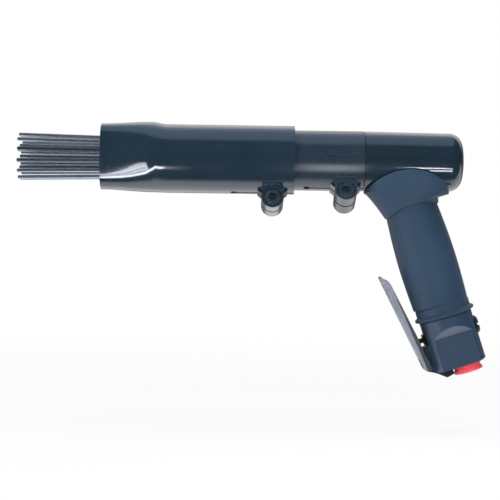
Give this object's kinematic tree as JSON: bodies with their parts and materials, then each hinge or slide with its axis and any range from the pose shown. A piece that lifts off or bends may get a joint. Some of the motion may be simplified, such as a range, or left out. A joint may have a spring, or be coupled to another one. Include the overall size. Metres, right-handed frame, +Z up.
{
  "type": "needle_scaler",
  "caption": "Pistol-grip air needle scaler with a clamped black needle tube, pinched nose, steel needle pack, lever throttle and red inlet cap",
  "frame": {"origin": "centre of the hand grip, on the handle axis, 84 mm down from the barrel axis", "axes": "+X along the barrel towards the rear, needles towards -X; +Z up from the grip to the barrel; +Y to the right-hand side seen from behind the needles, away from the viewer of the picture"},
  "size_m": [0.361, 0.053, 0.1927],
  "materials": {
    "black_paint": "gloss black paint on steel tube",
    "black_cast": "gloss black paint on cast aluminium",
    "housing_steel": "dark phosphated steel, semi-gloss",
    "machined_steel": "machined, oiled",
    "needle_steel": "drawn spring steel",
    "plated_steel": "satin plated pressing",
    "black_oxide": "black oxide on steel",
    "grip_rubber": "matt dark slate",
    "body_alloy": "matt dark blue-grey coating on cast aluminium",
    "brass": "turned",
    "black_rubber": "matt",
    "bush_plastic": "self-lubricating sleeve",
    "cap_red": "satin red moulding"
  },
  "bodies": {
    "handle": {"barrel_housing": "housing_steel", "rear_clamp_bolt": "black_oxide", "hammer_barrel": "machined_steel", "anvil_bush": "brass", "valve_seat": "machined_steel", "valve_chest": "machined_steel", "bumper": "black_rubber", "backhead": "black_cast", "saddle": "grip_rubber", "grip": "grip_rubber", "grip_collar": "grip_rubber", "valve_body": "body_alloy", "lever_pin": "plated_steel", "plunger_bush": "brass", "throttle_plug": "black_oxide", "plug_washer": "black_rubber", "throttle_spring": "needle_steel", "inlet_bushing": "machined_steel"},
    "front_tube": {"front_tube": "black_paint", "tube_bush": "bush_plastic", "front_clamp_bolt": "black_oxide", "holder_spring": "needle_steel"},
    "needle_holder": {"needle_holder": "machined_steel"},
    "anvil": {"anvil": "machined_steel"},
    "piston": {"piston": "machined_steel"},
    "valve_disc": {"valve_disc": "machined_steel"},
    "lever": {"lever": "plated_steel"},
    "throttle_valve": {"throttle_valve": "brass"},
    "inlet_cap": {"inlet_cap": "cap_red"},
    "needle_01": {"needle_01": "needle_steel"},
    "needle_02": {"needle_02": "needle_steel"},
    "needle_03": {"needle_03": "needle_steel"},
    "needle_04": {"needle_04": "needle_steel"},
    "needle_05": {"needle_05": "needle_steel"},
    "needle_06": {"needle_06": "needle_steel"},
    "needle_07": {"needle_07": "needle_steel"},
    "needle_08": {"needle_08": "needle_steel"},
    "needle_09": {"needle_09": "needle_steel"},
    "needle_10": {"needle_10": "needle_steel"},
    "needle_11": {"needle_11": "needle_steel"},
    "needle_12": {"needle_12": "needle_steel"},
    "needle_13": {"needle_13": "needle_steel"},
    "needle_14": {"needle_14": "needle_steel"},
    "needle_15": {"needle_15": "needle_steel"},
    "needle_16": {"needle_16": "needle_steel"},
    "needle_17": {"needle_17": "needle_steel"},
    "needle_18": {"needle_18": "needle_steel"},
    "needle_19": {"needle_19": "needle_steel"}
  },
  "joints": [
    {"name": "tube_slide", "type": "slide", "parent": "handle", "child": "front_tube", "axis": [-1, 0, 0], "range_m": [-0.01, 0.01]},
    {"name": "holder_slide", "type": "slide", "parent": "handle", "child": "needle_holder", "axis": [-1, 0, 0], "range_m": [0, 0.01], "stiffness_N_per_m": 800, "springref_m": -0.012, "deforming": ["holder_spring"]},
    {"name": "anvil_slide", "type": "slide", "parent": "handle", "child": "anvil", "axis": [-1, 0, 0], "range_m": [0, 0.0034]},
    {"name": "piston_slide", "type": "slide", "parent": "handle", "child": "piston", "axis": [-1, 0, 0], "range_m": [0, 0.028]},
    {"name": "valve_disc_slide", "type": "slide", "parent": "handle", "child": "valve_disc", "axis": [1, 0, 0], "range_m": [0, 0.0008]},
    {"name": "lever_squeeze", "type": "hinge", "parent": "handle", "child": "lever", "pos_m": [-0.00059, 0, -0.07747], "axis": [0, 1, 0], "range_deg": [0, 7.5], "stiffness_Nm_per_rad": 1.5, "springref_deg": -8.59},
    {"name": "throttle_slide", "type": "slide", "parent": "handle", "child": "throttle_valve", "axis": [0.9511, 0, 0.309], "range_m": [0, 0.00275], "deforming": ["throttle_spring"]},
    {"name": "cap_pull", "type": "slide", "parent": "handle", "child": "inlet_cap", "axis": [0.309, 0, -0.9511], "range_m": [0, 0.04]},
    {"name": "needle_01_slide", "type": "slide", "parent": "needle_holder", "child": "needle_01", "axis": [1, -0.0005, -0.0003], "range_m": [-0.0006, 0.0034]},
    {"name": "needle_02_slide", "type": "slide", "parent": "needle_holder", "child": "needle_02", "axis": [1, -0.0038, -0.0043], "range_m": [-0.0004, 0.0036]},
    {"name": "needle_03_slide", "type": "slide", "parent": "needle_holder", "child": "needle_03", "axis": [0.9999, 0.0001, -0.0102], "range_m": [-0.0002, 0.0038]},
    {"name": "needle_04_slide", "type": "slide", "parent": "needle_holder", "child": "needle_04", "axis": [1, 0.0033, -0.006], "range_m": [0, 0.004]},
    {"name": "needle_05_slide", "type": "slide", "parent": "needle_holder", "child": "needle_05", "axis": [1, 0.0035, 0.0042], "range_m": [-0.0006, 0.0034]},
    {"name": "needle_06_slide", "type": "slide", "parent": "needle_holder", "child": "needle_06", "axis": [0.9999, 0.0007, 0.0102], "range_m": [-0.0004, 0.0036]},
    {"name": "needle_07_slide", "type": "slide", "parent": "needle_holder", "child": "needle_07", "axis": [1, -0.0032, 0.006], "range_m": [-0.0002, 0.0038]},
    {"name": "needle_08_slide", "type": "slide", "parent": "needle_holder", "child": "needle_08", "axis": [1, -0.0089, -0.0042], "range_m": [0, 0.004]},
    {"name": "needle_09_slide", "type": "slide", "parent": "needle_holder", "child": "needle_09", "axis": [0.9999, -0.0067, -0.0139], "range_m": [-0.0006, 0.0034]},
    {"name": "needle_10_slide", "type": "slide", "parent": "needle_holder", "child": "needle_10", "axis": [0.9998, -0.0021, -0.0204], "range_m": [-0.0004, 0.0036]},
    {"name": "needle_11_slide", "type": "slide", "parent": "needle_holder", "child": "needle_11", "axis": [0.9998, 0.0019, -0.0215], "range_m": [-0.0002, 0.0038]},
    {"name": "needle_12_slide", "type": "slide", "parent": "needle_holder", "child": "needle_12", "axis": [0.9998, 0.0052, -0.0166], "range_m": [0, 0.004]},
    {"name": "needle_13_slide", "type": "slide", "parent": "needle_holder", "child": "needle_13", "axis": [0.9999, 0.0082, -0.0068], "range_m": [-0.0006, 0.0034]},
    {"name": "needle_14_slide", "type": "slide", "parent": "needle_holder", "child": "needle_14", "axis": [0.9999, 0.009, 0.0049], "range_m": [-0.0004, 0.0036]},
    {"name": "needle_15_slide", "type": "slide", "parent": "needle_holder", "child": "needle_15", "axis": [0.9999, 0.0063, 0.015], "range_m": [-0.0002, 0.0038]},
    {"name": "needle_16_slide", "type": "slide", "parent": "needle_holder", "child": "needle_16", "axis": [0.9998, 0.0022, 0.0207], "range_m": [0, 0.004]},
    {"name": "needle_17_slide", "type": "slide", "parent": "needle_holder", "child": "needle_17", "axis": [0.9998, -0.0015, 0.0207], "range_m": [-0.0006, 0.0034]},
    {"name": "needle_18_slide", "type": "slide", "parent": "needle_holder", "child": "needle_18", "axis": [0.9999, -0.0053, 0.0155], "range_m": [-0.0004, 0.0036]},
    {"name": "needle_19_slide", "type": "slide", "parent": "needle_holder", "child": "needle_19", "axis": [0.9999, -0.0086, 0.0066], "range_m": [-0.0002, 0.0038]}
  ],
  "couplings": [
    {"joint": "throttle_slide", "follows": "lever_squeeze", "m_per_rad": 0.020852}
  ]
}
